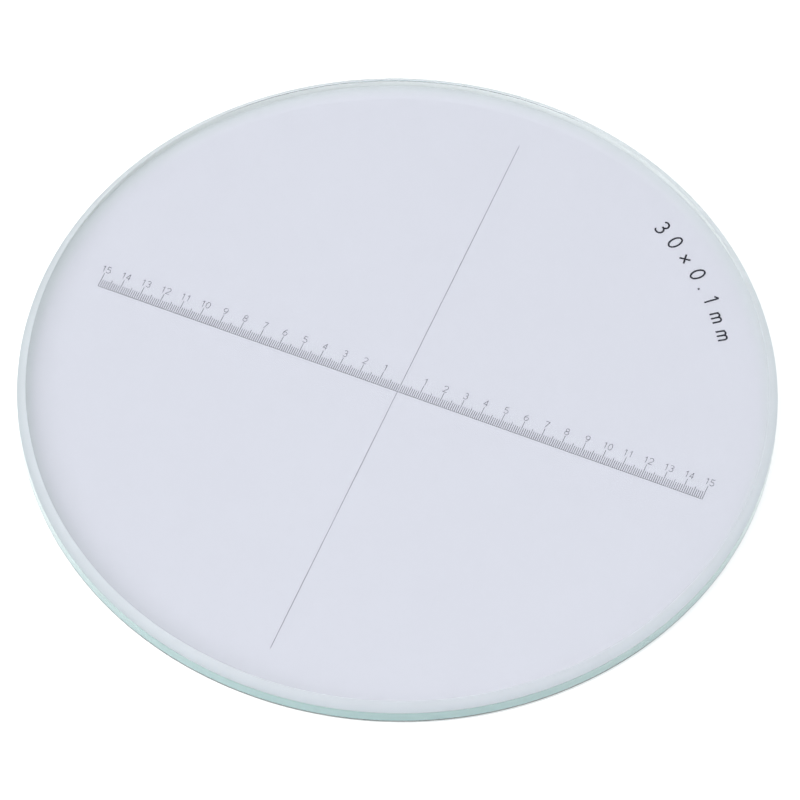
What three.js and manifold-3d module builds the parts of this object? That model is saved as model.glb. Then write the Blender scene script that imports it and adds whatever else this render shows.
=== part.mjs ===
// Contact reticle of a measuring magnifier: a round glass disc with a scale, a centre line and a legend in
// metal film on its underside. Millimetres, +Z up. The origin is the centre of the underside. +X runs along
// the scale and +Y points from the scale to its numerals. The pattern is read from above through the glass.
import * as THREE from "three";
import { mergeVertices } from "three/addons/utils/BufferGeometryUtils.js";
import Module from "manifold-3d";

const wasm = await Module();
wasm.setup();

// Glass disc.
const DISC_RADIUS = 17.45;
const DISC_THICKNESS = 1.3;
const TOP_CHAMFER = 0.39;
const BOTTOM_CHAMFER = 0.17;
const DISC_SEGMENTS = 144;

// Film that forms every mark.
const FILM_THICKNESS = 0.005;

// Scale: a baseline with a graduation every tenth of a millimetre, on both sides of zero.
const SCALE_REACH = 15;
const DIVISIONS_PER_UNIT = 10;
const BASELINE_WIDTH = 0.016;
const TENTH_HEIGHT = 0.41;
const HALF_HEIGHT = 0.52;
const UNIT_HEIGHT = 0.76;
const GRADUATION_WIDTH = 0.023;

// Centre line, square to the scale.
const CENTRE_LINE_REACH = 15;
const CENTRE_LINE_WIDTH = 0.017;

// Numerals over the unit graduations.
const NUMERAL_HEIGHT = 0.34;
const NUMERAL_STROKE = 0.021;
const NUMERAL_FOOT = 0.83;
const DIGIT_PITCH = 0.25;

// Legend on an arc near the rim: scale length by division, tops outwards, read clockwise.
const LEGEND = "30x0.1mm";
const LEGEND_RADIUS = 15.45;
const LEGEND_HEIGHT = 0.72;
const LEGEND_STROKE = 0.09;
const LEGEND_MIDDLE_ANGLE = THREE.MathUtils.degToRad(47);
const LEGEND_PITCH_ANGLE = THREE.MathUtils.degToRad(3.8);
const POINT_ADVANCE = 0.5;

// Characters are drawn in a cell of height 1 and this width, measured to the strokes' centre lines.
const CELL_WIDTH = 0.56;
const ARC_STEPS = 10;

const glassMaterial = new THREE.MeshStandardMaterial({
  color: 0xdde2ec,
  roughness: 0.06,
  metalness: 0,
  transparent: true,
  opacity: 0.35,
});
const filmMaterial = new THREE.MeshStandardMaterial({
  color: 0x3c3e46,
  roughness: 0.35,
  metalness: 0.6,
});

// A chamfered disc, turned about Z.
function glassDisc() {
  const low = FILM_THICKNESS;
  const high = FILM_THICKNESS + DISC_THICKNESS;
  const profile = [
    [0, low],
    [DISC_RADIUS - BOTTOM_CHAMFER, low],
    [DISC_RADIUS, low + BOTTOM_CHAMFER],
    [DISC_RADIUS, high - TOP_CHAMFER],
    [DISC_RADIUS - TOP_CHAMFER, high],
    [0, high],
  ].map(([radius, height]) => new THREE.Vector2(radius, height));
  const disc = new THREE.LatheGeometry(profile, DISC_SEGMENTS);
  return disc.rotateX(Math.PI / 2);
}

// A flat film of the shape's outline, resting on z = 0.
function film(shape) {
  return new THREE.ExtrudeGeometry(shape, { depth: FILM_THICKNESS, bevelEnabled: false });
}

function point(x, y) {
  return new THREE.Vector2(x, y);
}

// Graduation number n counts divisions from zero.
function graduationHeight(n) {
  if (n % DIVISIONS_PER_UNIT === 0) return UNIT_HEIGHT;
  if (n % (DIVISIONS_PER_UNIT / 2) === 0) return HALF_HEIGHT;
  return TENTH_HEIGHT;
}

// The comb of baseline and graduations, as one outline: along the foot, then back over every graduation.
// Zero is left to the centre line.
function scaleComb() {
  const last = SCALE_REACH * DIVISIONS_PER_UNIT;
  const half = GRADUATION_WIDTH / 2;
  const shoulder = BASELINE_WIDTH / 2;
  const outline = [point(-SCALE_REACH - half, -shoulder), point(SCALE_REACH + half, -shoulder)];
  for (let n = last; n >= -last; n -= 1) {
    if (n === 0) continue;
    const middle = n / DIVISIONS_PER_UNIT;
    const height = graduationHeight(n);
    if (n !== last) outline.push(point(middle + half, shoulder));
    outline.push(point(middle + half, height), point(middle - half, height));
    if (n !== -last) outline.push(point(middle - half, shoulder));
  }
  return film(new THREE.Shape(outline));
}

// One half of the centre line, from the baseline's edge outwards. side is 1 above the scale and -1 below.
function centreLineHalf(side) {
  const near = (side * BASELINE_WIDTH) / 2;
  const far = side * CENTRE_LINE_REACH;
  const half = CENTRE_LINE_WIDTH / 2;
  const corners = [point(-half, near), point(half, near), point(half, far), point(-half, far)];
  return film(new THREE.Shape(corners));
}

// Points of an arc of an ellipse, with angles in degrees: counterclockwise if the end is the larger one.
function arc(x, y, radiusX, radiusY, start, end) {
  const from = THREE.MathUtils.degToRad(start);
  const to = THREE.MathUtils.degToRad(end);
  const curve = new THREE.EllipseCurve(x, y, radiusX, radiusY, from, to, to < from);
  return curve.getPoints(ARC_STEPS);
}

// A whole ellipse as an open ring of points, for a closed stroke.
function ring(x, y, radiusX, radiusY) {
  return new THREE.EllipseCurve(x, y, radiusX, radiusY).getPoints(2 * ARC_STEPS).slice(0, -1);
}

const MIDDLE = CELL_WIDTH / 2;

// The loop and the tail shared by 6 and 9.
function sixStrokes() {
  return [
    { closed: true, points: ring(MIDDLE, 0.3, MIDDLE, 0.3) },
    { points: arc(CELL_WIDTH + 0.06, 0.3, CELL_WIDTH + 0.06, 0.72, 180, 108) },
  ];
}

function turnedHalf(strokes) {
  const turn = (p) => point(CELL_WIDTH - p.x, 1 - p.y);
  return strokes.map((stroke) => ({ ...stroke, points: stroke.points.map(turn) }));
}

// Centre lines of each character's strokes, in the unit cell.
const GLYPHS = {
  0: [{ closed: true, points: ring(MIDDLE, 0.5, MIDDLE, 0.5) }],
  1: [
    { points: [point(0.12, 0.78), point(0.34, 1)] },
    { points: [point(0.34, 1), point(0.34, 0)] },
  ],
  2: [{ points: [...arc(MIDDLE, 0.72, MIDDLE, 0.28, 165, -35), point(0, 0), point(CELL_WIDTH, 0)] }],
  3: [
    { points: arc(MIDDLE, 0.76, 0.24, 0.24, 150, -100) },
    { points: arc(MIDDLE, 0.27, MIDDLE, 0.27, 100, -150) },
  ],
  4: [
    { points: [point(0.4, 0), point(0.4, 1)] },
    { points: [point(0.4, 1), point(0, 0.3), point(CELL_WIDTH, 0.3)] },
  ],
  5: [
    { points: [point(0.5, 1), point(0.08, 1), point(0.04, 0.56), ...arc(0.26, 0.3, 0.3, 0.3, 115, -145)] },
  ],
  6: sixStrokes(),
  7: [{ points: [point(0, 1), point(CELL_WIDTH, 1), point(0.16, 0)] }],
  8: [
    { closed: true, points: ring(MIDDLE, 0.76, 0.23, 0.24) },
    { closed: true, points: ring(MIDDLE, 0.27, MIDDLE, 0.27) },
  ],
  9: turnedHalf(sixStrokes()),
  x: [
    { points: [point(0.02, 0.08), point(0.54, 0.6)] },
    { points: [point(0.02, 0.6), point(0.54, 0.08)] },
  ],
  ".": [{ points: [point(MIDDLE, 0), point(MIDDLE, 0.14)] }],
  m: [
    { points: [point(-0.06, 0), point(-0.06, 0.62)] },
    { points: [point(-0.06, 0.4), ...arc(0.11, 0.44, 0.17, 0.18, 180, 0), point(0.28, 0)] },
    { points: [point(0.28, 0.4), ...arc(0.45, 0.44, 0.17, 0.18, 180, 0), point(0.62, 0)] },
  ],
};

// The two edges of a stroke of even width along a line of points, mitred at each bend.
function strokeEdges(points, closed, half) {
  const count = points.length;
  const edges = { left: [], right: [] };
  points.forEach((here, i) => {
    const before = points[closed ? (i + count - 1) % count : Math.max(i - 1, 0)];
    const after = points[closed ? (i + 1) % count : Math.min(i + 1, count - 1)];
    const into = here.clone().sub(before).normalize();
    const out = after.clone().sub(here).normalize();
    if (into.length() === 0) into.copy(out);
    if (out.length() === 0) out.copy(into);
    const across = point(-into.y - out.y, into.x + out.x).normalize();
    const reach = half / across.dot(point(-into.y, into.x));
    edges.left.push(here.clone().addScaledVector(across, reach));
    edges.right.push(here.clone().addScaledVector(across, -reach));
  });
  return edges;
}

function strokeShape({ points, closed = false }, half) {
  const { left, right } = strokeEdges(points, closed, half);
  if (!closed) return new THREE.Shape([...left, ...right.reverse()]);
  const shape = new THREE.Shape(right);
  shape.holes.push(new THREE.Path(left));
  return shape;
}

// A closed geometry as a manifold-3d solid, and back.
function solidOf(geometry) {
  const bare = geometry.clone();
  bare.deleteAttribute("normal");
  bare.deleteAttribute("uv");
  const merged = mergeVertices(bare, 1e-5);
  return new wasm.Manifold(
    new wasm.Mesh({
      numProp: 3,
      vertProperties: new Float32Array(merged.attributes.position.array),
      triVerts: new Uint32Array(merged.index.array),
    }),
  );
}

function geometryOf(solid) {
  const mesh = solid.getMesh();
  const geometry = new THREE.BufferGeometry();
  geometry.setAttribute("position", new THREE.BufferAttribute(new Float32Array(mesh.vertProperties), 3));
  geometry.setIndex(new THREE.BufferAttribute(new Uint32Array(mesh.triVerts), 1));
  geometry.computeVertexNormals();
  return geometry;
}

// One character, centred on x = 0 with its foot on y = 0.
function glyph(character, height, strokeWidth) {
  const half = strokeWidth / 2;
  const place = (p) => point((p.x - MIDDLE) * height, p.y * height);
  const strokes = GLYPHS[character].map((stroke) => ({ ...stroke, points: stroke.points.map(place) }));
  const films = strokes.map((stroke) => film(strokeShape(stroke, half)));
  if (films.length === 1) return films[0];
  return geometryOf(films.map(solidOf).reduce((joined, next) => joined.add(next)));
}

function namedMesh(name, geometry, material) {
  const mesh = new THREE.Mesh(geometry, material);
  mesh.name = name;
  return mesh;
}

// The digits of one numeral over its unit graduation. side is -1 on the left and 1 on the right.
function numeral(value, side) {
  const group = new THREE.Group();
  const digits = String(value).split("");
  const sideName = side < 0 ? "left" : "right";
  const places = digits.length === 1 ? ["ones"] : ["tens", "ones"];
  digits.forEach((digit, i) => {
    const name = `numeral_${sideName}_${value}_${places[i]}`;
    const mesh = namedMesh(name, glyph(digit, NUMERAL_HEIGHT, NUMERAL_STROKE), filmMaterial);
    mesh.position.x = (i - (digits.length - 1) / 2) * DIGIT_PITCH;
    group.add(mesh);
  });
  group.position.set(side * value, NUMERAL_FOOT, 0);
  return group;
}

// Each character's place along the legend, in pitches from its start. A decimal point takes less room.
function legendPlaces(characters) {
  let travelled = 0;
  return characters.map((character) => {
    const advance = character === "." ? POINT_ADVANCE : 1;
    travelled += advance;
    return travelled - advance / 2;
  });
}

// The legend's characters, each turned to stand on the arc.
function legend() {
  const group = new THREE.Group();
  const characters = LEGEND.split("");
  const places = legendPlaces(characters);
  const middlePlace = (places[0] + places[places.length - 1]) / 2;
  const foot = LEGEND_RADIUS - LEGEND_HEIGHT / 2;
  characters.forEach((character, i) => {
    const angle = LEGEND_MIDDLE_ANGLE + (middlePlace - places[i]) * LEGEND_PITCH_ANGLE;
    const name = `legend_character_${i + 1}`;
    const mesh = namedMesh(name, glyph(character, LEGEND_HEIGHT, LEGEND_STROKE), filmMaterial);
    mesh.position.set(foot * Math.cos(angle), foot * Math.sin(angle), 0);
    mesh.rotation.z = angle - Math.PI / 2;
    group.add(mesh);
  });
  return group;
}

const reticle = new THREE.Group();
reticle.add(namedMesh("glass_disc", glassDisc(), glassMaterial));
reticle.add(namedMesh("scale_graduations", scaleComb(), filmMaterial));
reticle.add(namedMesh("centre_line_upper", centreLineHalf(1), filmMaterial));
reticle.add(namedMesh("centre_line_lower", centreLineHalf(-1), filmMaterial));
for (let value = 1; value <= SCALE_REACH; value += 1) {
  reticle.add(numeral(value, -1), numeral(value, 1));
}
reticle.add(legend());

export default reticle;
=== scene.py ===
import math

import bmesh
import bpy
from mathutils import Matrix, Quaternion, Vector, noise


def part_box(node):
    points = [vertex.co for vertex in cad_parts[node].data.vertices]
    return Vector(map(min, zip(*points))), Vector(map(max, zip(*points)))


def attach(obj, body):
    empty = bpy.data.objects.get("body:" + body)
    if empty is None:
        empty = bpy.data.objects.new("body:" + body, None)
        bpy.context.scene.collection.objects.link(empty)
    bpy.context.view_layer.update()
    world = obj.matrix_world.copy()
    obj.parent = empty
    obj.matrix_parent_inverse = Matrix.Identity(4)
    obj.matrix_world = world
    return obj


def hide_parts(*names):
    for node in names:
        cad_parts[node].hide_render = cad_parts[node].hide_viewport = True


# Looks of the contact reticle: its clear glass disc with a ground rim, the dark metal film of its
# marks, and the studio round it. Metres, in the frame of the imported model. Names that end in _MM
# hold millimetres.
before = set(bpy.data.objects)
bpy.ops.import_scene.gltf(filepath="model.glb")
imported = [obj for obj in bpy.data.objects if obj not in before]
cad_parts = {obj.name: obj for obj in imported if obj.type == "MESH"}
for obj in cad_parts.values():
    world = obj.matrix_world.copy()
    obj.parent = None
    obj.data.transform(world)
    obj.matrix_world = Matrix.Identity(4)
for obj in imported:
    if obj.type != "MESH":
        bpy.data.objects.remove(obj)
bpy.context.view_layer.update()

MM = 0.001

# Glass disc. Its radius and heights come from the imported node.
TOP_CHAMFER = 0.39 * MM
BOTTOM_CHAMFER = 0.17 * MM
TOP_ARRIS = 0.035 * MM
BOTTOM_ARRIS = 0.03 * MM
ARRIS_STEPS = 5
RIM_SEGMENTS = 360
CHAMFER_WANDER = 0.012 * MM
WANDER_LOBES = 5.0
FILM_GAP = 0.001 * MM

# Glass. The underside's margin runs between the two radii of MARGIN_MM.
GLASS_IOR = 1.52
COAT_IOR = 1.6
COAT_ROUGHNESS = 0.08
GRAIN_PER_MM = 14.0
GRAIN_DEPTH = 0.01 * MM
GRAIN_STRENGTH = 0.25
CLEAR_TINT = (0.93, 0.94, 0.97)
MARGIN_MM = (16.45, 17.28)
# The margin's tint is painted shade with a green cast, standing in for the shade and edge light of
# the rim seen through the glass.
MARGIN_PAINTED_SHADE = (0.545, 0.60, 0.57)

# Where most values of a noise texture lie.
NOISE_LOW = 0.3
NOISE_HIGH = 0.7

# Colour sockets of a Mix node, by number because their names repeat.
MIX_FIRST, MIX_SECOND, MIX_RESULT = 6, 7, 2

# Camera, at the viewing angle of the reference view.
VIEW_AZIMUTH = math.radians(21.0)
VIEW_ELEVATION = math.radians(56.65)
VIEW_ROLL = math.radians(1.67)
VIEW_DISTANCE = 352 * MM
VIEW_TARGET = Vector((0.285, -0.385, 0.543)) * MM
LENS_MM = 345.2

# Studio.
FLOOR_HALF_WIDTH = 2.0
FLOOR_DROP = 0.001 * MM
HORIZON_GLOW = 3.0
OVERHEAD_GLOW = 0.25
GLOW_TOP = 0.25
# The horizon's glow fades out between these cosines of the angle from straight behind the disc.
GLOW_EDGE = 0.75
GLOW_GONE = 0.97


def new_material(name):
    material = bpy.data.materials.new(name)
    material.use_nodes = True
    material.node_tree.nodes.clear()
    return material, material.node_tree.nodes, material.node_tree.links


def noise_texture(nodes, links, scale_per_mm, detail, stretch=(1, 1, 1)):
    """A noise texture in object space, at a scale given in features per millimetre."""
    place = nodes.new("ShaderNodeTexCoord")
    mapping = nodes.new("ShaderNodeMapping")
    mapping.inputs["Scale"].default_value = stretch
    texture = nodes.new("ShaderNodeTexNoise")
    texture.inputs["Scale"].default_value = scale_per_mm / MM
    texture.inputs["Detail"].default_value = detail
    links.new(place.outputs["Object"], mapping.inputs["Vector"])
    links.new(mapping.outputs["Vector"], texture.inputs["Vector"])
    return texture.outputs["Fac"]


def spread(nodes, links, value, low, high):
    """The value mapped from its usual middle range onto low to high."""
    remap = nodes.new("ShaderNodeMapRange")
    remap.inputs["From Min"].default_value = NOISE_LOW
    remap.inputs["From Max"].default_value = NOISE_HIGH
    remap.inputs["To Min"].default_value = low
    remap.inputs["To Max"].default_value = high
    links.new(value, remap.inputs["Value"])
    return remap.outputs["Result"]


def blend(nodes, links, factor, first, second):
    """A colour from first to second, each of them a colour or a socket that gives one."""
    mix = nodes.new("ShaderNodeMix")
    mix.data_type = "RGBA"
    links.new(factor, mix.inputs["Factor"])
    for i, colour in ((MIX_FIRST, first), (MIX_SECOND, second)):
        if isinstance(colour, tuple):
            mix.inputs[i].default_value = (*colour, 1)
        else:
            links.new(colour, mix.inputs[i])
    return mix.outputs[MIX_RESULT]


def bump(nodes, links, height, distance, strength):
    node = nodes.new("ShaderNodeBump")
    node.inputs["Distance"].default_value = distance
    node.inputs["Strength"].default_value = strength
    links.new(height, node.inputs["Height"])
    return node.outputs["Normal"]


def let_light_through(nodes, links, surface, lamp_tint, ambient_tint):
    """Glass for the camera, and a plain tint for light on its way to and from what is behind it."""
    path = nodes.new("ShaderNodeLightPath")
    for ray, tint in (("Is Shadow Ray", lamp_tint), ("Is Diffuse Ray", ambient_tint)):
        clear = nodes.new("ShaderNodeBsdfTransparent")
        clear.inputs["Color"].default_value = (*tint, 1)
        mix = nodes.new("ShaderNodeMixShader")
        links.new(path.outputs[ray], mix.inputs["Fac"])
        links.new(surface, mix.inputs[1])
        links.new(clear.outputs["BSDF"], mix.inputs[2])
        surface = mix.outputs["Shader"]
    output = nodes.new("ShaderNodeOutputMaterial")
    links.new(surface, output.inputs["Surface"])


def ramp(nodes, links, value, low_mm, high_mm):
    """Zero at the lower of two sizes in object space and one at the upper, with soft ends."""
    remap = nodes.new("ShaderNodeMapRange")
    remap.interpolation_type = "SMOOTHSTEP"
    remap.inputs["From Min"].default_value = low_mm * MM
    remap.inputs["From Max"].default_value = high_mm * MM
    links.new(value, remap.inputs["Value"])
    return remap.outputs["Result"]


def height_ramp(nodes, links, low_mm, high_mm):
    place = nodes.new("ShaderNodeTexCoord")
    split = nodes.new("ShaderNodeSeparateXYZ")
    links.new(place.outputs["Object"], split.inputs["Vector"])
    return ramp(nodes, links, split.outputs["Z"], low_mm, high_mm)


def radius_ramp(nodes, links, inner_mm, outer_mm):
    place = nodes.new("ShaderNodeTexCoord")
    flatten = nodes.new("ShaderNodeVectorMath")
    flatten.operation = "MULTIPLY"
    flatten.inputs[1].default_value = (1.0, 1.0, 0.0)
    radius = nodes.new("ShaderNodeVectorMath")
    radius.operation = "LENGTH"
    links.new(place.outputs["Object"], flatten.inputs[0])
    links.new(flatten.outputs["Vector"], radius.inputs[0])
    return ramp(nodes, links, radius.outputs["Value"], inner_mm, outer_mm)


def polished_glass(name, has_margin_shade):
    """Clear glass with faint smears. Where it has the margin, it turns grey-green to the rim:
    painted shade with a green cast, standing in for the shade and edge light that the ground rim
    throws into the glass near its edge.
    """
    material, nodes, links = new_material(name)
    shader = nodes.new("ShaderNodeBsdfPrincipled")
    shader.inputs["IOR"].default_value = GLASS_IOR
    shader.inputs["Transmission Weight"].default_value = 1.0
    smears = noise_texture(nodes, links, 0.12, 3.0, (1.0, 0.35, 1.0))
    tint = blend(nodes, links, smears, (0.60, 0.605, 0.637), (0.61, 0.615, 0.647))
    if has_margin_shade:
        # Painted shade: the margin darkens and greens towards the rim.
        tint = blend(nodes, links, radius_ramp(nodes, links, *MARGIN_MM), tint, MARGIN_PAINTED_SHADE)
    links.new(tint, shader.inputs["Base Color"])
    links.new(spread(nodes, links, smears, 0.0, 0.02), shader.inputs["Roughness"])
    let_light_through(nodes, links, shader.outputs["BSDF"], CLEAR_TINT, CLEAR_TINT)
    return material


def ground_glass(
    name, colours, ramp_mm, lamp_tint, ambient_tint, roughness, transmission, sheen
):
    """Fine-ground glass with frosted grain in its gloss and surface.

    colours are the deep one at the foot and the two that the face varies between. The change from
    deep to face follows ramp_mm, two heights.
    """
    material, nodes, links = new_material(name)
    shader = nodes.new("ShaderNodeBsdfPrincipled")
    shader.inputs["IOR"].default_value = GLASS_IOR
    shader.inputs["Coat Weight"].default_value = sheen
    shader.inputs["Coat IOR"].default_value = COAT_IOR
    shader.inputs["Coat Roughness"].default_value = COAT_ROUGHNESS
    shader.inputs["Transmission Weight"].default_value = transmission
    grain = noise_texture(nodes, links, GRAIN_PER_MM, 4.0)
    patches = noise_texture(nodes, links, 0.25, 3.0)
    deep, first, second = colours
    face = blend(nodes, links, patches, first, second)
    # On the wall, the deep colour at the foot is painted shade, standing in for the contact shadow
    # on the floor.
    tint = blend(nodes, links, height_ramp(nodes, links, *ramp_mm), deep, face)
    links.new(tint, shader.inputs["Base Color"])
    low, high = roughness
    links.new(spread(nodes, links, grain, low, high), shader.inputs["Roughness"])
    relief = bump(nodes, links, grain, GRAIN_DEPTH, GRAIN_STRENGTH)
    links.new(relief, shader.inputs["Normal"])
    let_light_through(nodes, links, shader.outputs["BSDF"], lamp_tint, ambient_tint)
    return material


def metal_film():
    material, nodes, links = new_material("metal_film")
    shader = nodes.new("ShaderNodeBsdfPrincipled")
    shader.inputs["Metallic"].default_value = 0.6
    mottle = noise_texture(nodes, links, 6.0, 3.0)
    tint = blend(nodes, links, mottle, (0.02, 0.021, 0.03), (0.032, 0.034, 0.046))
    links.new(tint, shader.inputs["Base Color"])
    links.new(spread(nodes, links, mottle, 0.3, 0.45), shader.inputs["Roughness"])
    output = nodes.new("ShaderNodeOutputMaterial")
    links.new(shader.outputs["BSDF"], output.inputs["Surface"])
    return material


def floor_material():
    material, nodes, links = new_material("studio_floor")
    shader = nodes.new("ShaderNodeBsdfPrincipled")
    shader.inputs["Base Color"].default_value = (0.86, 0.86, 0.86, 1)
    shader.inputs["Roughness"].default_value = 0.9
    shader.inputs["Specular IOR Level"].default_value = 0.1
    output = nodes.new("ShaderNodeOutputMaterial")
    links.new(shader.outputs["BSDF"], output.inputs["Surface"])
    return material


POLISHED, CHAMFER, WALL, BEVEL, MARGIN = range(5)


def arris(radius, height, bend, start, end, material):
    """Stations of a rounded edge centred at (radius, height), its normal turning start to end."""
    stations = []
    for i in range(ARRIS_STEPS + 1):
        angle = math.radians(start + (end - start) * i / ARRIS_STEPS)
        normal = (math.cos(angle), math.sin(angle))
        station = (radius + bend * normal[0], height + bend * normal[1], normal, material)
        stations.append(station)
    return stations


def rounded_corner(corner, normals, bend, material):
    """A rounded edge in place of a sharp corner between two flats.

    normals are the directions that the two flats face, in degrees from level.
    """
    start, end = normals
    half = math.radians(end - start) / 2
    middle = math.radians((start + end) / 2)
    inset = bend / math.cos(half)
    centre = (corner[0] - inset * math.cos(middle), corner[1] - inset * math.sin(middle))
    return arris(*centre, bend, start, end, material)


def disc_profile(radius, low, high):
    """Stations from the underside to the top.

    Each is (radius, height, normal, material of the stretch that follows).
    """
    foot = (radius - BOTTOM_CHAMFER, low)
    shin = (radius, low + BOTTOM_CHAMFER)
    shoulder = (radius, high - TOP_CHAMFER)
    brow = (radius - TOP_CHAMFER, high)
    corners = [
        (foot, (-90, -45), BOTTOM_ARRIS, BEVEL, BEVEL),
        (shin, (-45, 0), BOTTOM_ARRIS, BEVEL, WALL),
        (shoulder, (0, 45), TOP_ARRIS, CHAMFER, CHAMFER),
        (brow, (45, 90), TOP_ARRIS, CHAMFER, POLISHED),
    ]
    profile = [(MARGIN_MM[0] * MM, low, (0.0, -1.0), MARGIN)]
    for corner, normals, bend, edge, following in corners:
        stations = rounded_corner(corner, normals, bend, edge)
        stations[-1] = (*stations[-1][:3], following)
        profile += stations
    return profile


def wander(angle):
    """How far the inner edge of the ground chamfer strays at this angle round the rim."""
    place = Vector((math.cos(angle), math.sin(angle), 0)) * WANDER_LOBES
    return CHAMFER_WANDER * noise.noise(place)


def glass_disc():
    """The disc turned about Z, with rounded arrises and the normals of its true surface."""
    low_corner, high_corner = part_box("glass_disc")
    radius = high_corner.x
    low, high = low_corner.z + FILM_GAP, high_corner.z
    profile = disc_profile(radius, low, high)
    brow = radius - TOP_CHAMFER - TOP_ARRIS
    mesh_builder = bmesh.new()
    normals = []

    def add(x, y, z, normal):
        normals.append(normal)
        return mesh_builder.verts.new((x, y, z))

    foot_centre = add(0, 0, low, (0, 0, -1))
    rings = []
    for station_radius, height, normal, _ in profile:
        ring = []
        for i in range(RIM_SEGMENTS):
            angle = 2 * math.pi * i / RIM_SEGMENTS
            near_brow = max(0.0, 1 - abs(station_radius - brow) / TOP_CHAMFER)
            is_top = height > high - TOP_CHAMFER / 2
            stray = wander(angle) * near_brow if is_top else 0.0
            reach = station_radius + stray
            direction = (math.cos(angle), math.sin(angle))
            outward = (direction[0] * normal[0], direction[1] * normal[0], normal[1])
            ring.append(add(reach * direction[0], reach * direction[1], height, outward))
        rings.append(ring)
    top_centre = add(0, 0, high, (0, 0, 1))

    for i in range(RIM_SEGMENTS):
        following = (i + 1) % RIM_SEGMENTS
        mesh_builder.faces.new((foot_centre, rings[0][following], rings[0][i]))
        mesh_builder.faces.new((top_centre, rings[-1][i], rings[-1][following]))
        for j in range(len(rings) - 1):
            lower, upper = rings[j], rings[j + 1]
            corners = (lower[i], lower[following], upper[following], upper[i])
            face = mesh_builder.faces.new(corners)
            face.material_index = profile[j][3]
    for face in mesh_builder.faces:
        face.smooth = True
    mesh = bpy.data.meshes.new("reticle_glass")
    mesh_builder.to_mesh(mesh)
    mesh_builder.free()
    mesh.normals_split_custom_set_from_vertices(normals)
    disc = bpy.data.objects.new("reticle_glass", mesh)
    bpy.context.scene.collection.objects.link(disc)
    return disc


def build_glass():
    disc = glass_disc()
    disc.data.materials.append(polished_glass("polished_glass", False))
    chamfer = ground_glass(
        "ground_chamfer",
        colours=((0.425, 0.47, 0.50), (0.465, 0.502, 0.53), (0.495, 0.532, 0.56)),
        ramp_mm=(0.9, 1.2),
        lamp_tint=(0.72, 0.74, 0.75),
        ambient_tint=(0.88, 0.9, 0.92),
        roughness=(0.35, 0.5),
        transmission=0.6,
        sheen=0.0,
    )
    disc.data.materials.append(chamfer)
    wall = ground_glass(
        "ground_wall",
        # The first colour, near black at the wall's foot below 0.22 to 0.32 mm, is painted shade:
        # it stands in for the contact shadow where the disc's edge meets the floor.
        colours=((0.03, 0.05, 0.05), (0.42, 0.73, 0.73), (0.50, 0.785, 0.79)),
        ramp_mm=(0.22, 0.32),
        lamp_tint=(0.3, 0.34, 0.34),
        ambient_tint=(0.88, 0.9, 0.92),
        roughness=(0.1, 0.25),
        transmission=0.6,
        sheen=0.6,
    )
    disc.data.materials.append(wall)
    bevel = ground_glass(
        "ground_bevel",
        colours=((0.6, 0.64, 0.62), (0.65, 0.685, 0.665), (0.69, 0.725, 0.705)),
        ramp_mm=(0.0, 0.1),
        lamp_tint=(0.35, 0.38, 0.38),
        ambient_tint=(0.7, 0.74, 0.74),
        roughness=(0.35, 0.5),
        transmission=0.25,
        sheen=0.0,
    )
    disc.data.materials.append(bevel)
    disc.data.materials.append(polished_glass("margin_glass_painted_shade", True))
    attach(disc, "root")
    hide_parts("glass_disc")


def finish_film():
    """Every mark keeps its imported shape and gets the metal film."""
    film = metal_film()
    for name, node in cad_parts.items():
        if name == "glass_disc":
            continue
        node.data.materials.clear()
        node.data.materials.append(film)


def build_floor():
    mesh_builder = bmesh.new()
    bmesh.ops.create_grid(mesh_builder, x_segments=1, y_segments=1, size=FLOOR_HALF_WIDTH)
    mesh = bpy.data.meshes.new("studio_floor")
    mesh_builder.to_mesh(mesh)
    mesh_builder.free()
    floor = bpy.data.objects.new("studio_floor", mesh)
    floor.location.z = -FLOOR_DROP
    floor.data.materials.append(floor_material())
    bpy.context.scene.collection.objects.link(floor)


def direction(azimuth, elevation):
    """The direction from the disc towards this azimuth and elevation, in radians."""
    level = math.cos(elevation)
    return Vector((math.sin(azimuth) * level, -math.cos(azimuth) * level, math.sin(elevation)))


def softbox(name, azimuth, elevation, distance, size, power):
    """A square area lamp aimed at the disc, hidden from mirror reflections.

    Azimuth is measured from the camera's, positive to its right.
    """
    lamp = bpy.data.lights.new(name, "AREA")
    lamp.shape = "SQUARE"
    lamp.size = size
    lamp.energy = power
    away = direction(VIEW_AZIMUTH + math.radians(azimuth), math.radians(elevation))
    holder = bpy.data.objects.new(name, lamp)
    holder.location = away * distance
    holder.rotation_mode = "QUATERNION"
    holder.rotation_quaternion = (-away).to_track_quat("-Z", "Y")
    holder.visible_glossy = False
    bpy.context.scene.collection.objects.link(holder)


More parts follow.
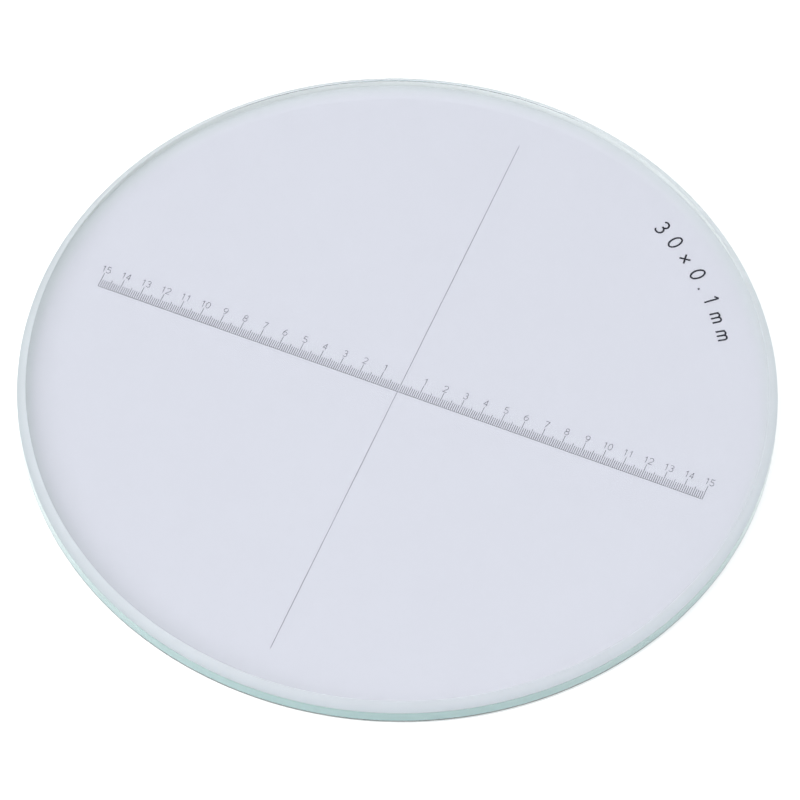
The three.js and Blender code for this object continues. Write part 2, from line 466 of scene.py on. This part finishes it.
def build_lights():
    world = bpy.data.worlds.new("studio")
    world.use_nodes = True
    nodes, links = world.node_tree.nodes, world.node_tree.links
    backdrop = nodes["Background"]
    backdrop.inputs["Color"].default_value = (1.0, 1.0, 1.0, 1)
    place = nodes.new("ShaderNodeTexCoord")
    split = nodes.new("ShaderNodeSeparateXYZ")
    fade = nodes.new("ShaderNodeMapRange")
    fade.inputs["From Max"].default_value = GLOW_TOP
    fade.inputs["To Min"].default_value = 1.0
    fade.inputs["To Max"].default_value = 0.0
    links.new(place.outputs["Generated"], split.inputs["Vector"])
    links.new(split.outputs["Z"], fade.inputs["Value"])
    behind = nodes.new("ShaderNodeVectorMath")
    behind.operation = "DOT_PRODUCT"
    behind.inputs[1].default_value = -direction(VIEW_AZIMUTH, 0.0)
    links.new(place.outputs["Generated"], behind.inputs[0])
    dim = nodes.new("ShaderNodeMapRange")
    dim.inputs["From Min"].default_value = GLOW_EDGE
    dim.inputs["From Max"].default_value = GLOW_GONE
    dim.inputs["To Min"].default_value = HORIZON_GLOW - OVERHEAD_GLOW
    dim.inputs["To Max"].default_value = 0.0
    links.new(behind.outputs["Value"], dim.inputs["Value"])
    strength = nodes.new("ShaderNodeMath")
    strength.operation = "MULTIPLY_ADD"
    links.new(fade.outputs["Result"], strength.inputs[0])
    links.new(dim.outputs["Result"], strength.inputs[1])
    strength.inputs[2].default_value = OVERHEAD_GLOW
    links.new(strength.outputs["Value"], backdrop.inputs["Strength"])
    bpy.context.scene.world = world
    softbox("key_softbox", -62, 46, 0.9, 0.34, 7.0)
    softbox("top_softbox", 0, 88, 0.9, 0.9, 7.1)
    softbox("right_softbox", 80, 42, 0.9, 0.5, 1.8)


def build_camera():
    back = direction(VIEW_AZIMUTH, VIEW_ELEVATION)
    lens = bpy.data.cameras.new("camera")
    lens.lens = LENS_MM
    lens.clip_start = VIEW_DISTANCE / 100
    lens.clip_end = VIEW_DISTANCE * 100
    camera = bpy.data.objects.new("camera", lens)
    camera.location = VIEW_TARGET + back * VIEW_DISTANCE
    level = (-back).to_track_quat("-Z", "Y")
    camera.rotation_mode = "QUATERNION"
    camera.rotation_quaternion = level @ Quaternion((0, 0, 1), VIEW_ROLL)
    bpy.context.scene.collection.objects.link(camera)
    bpy.context.scene.camera = camera


build_camera()
build_floor()
build_lights()
build_glass()
finish_film()
bpy.context.scene.view_settings.view_transform = "Standard"
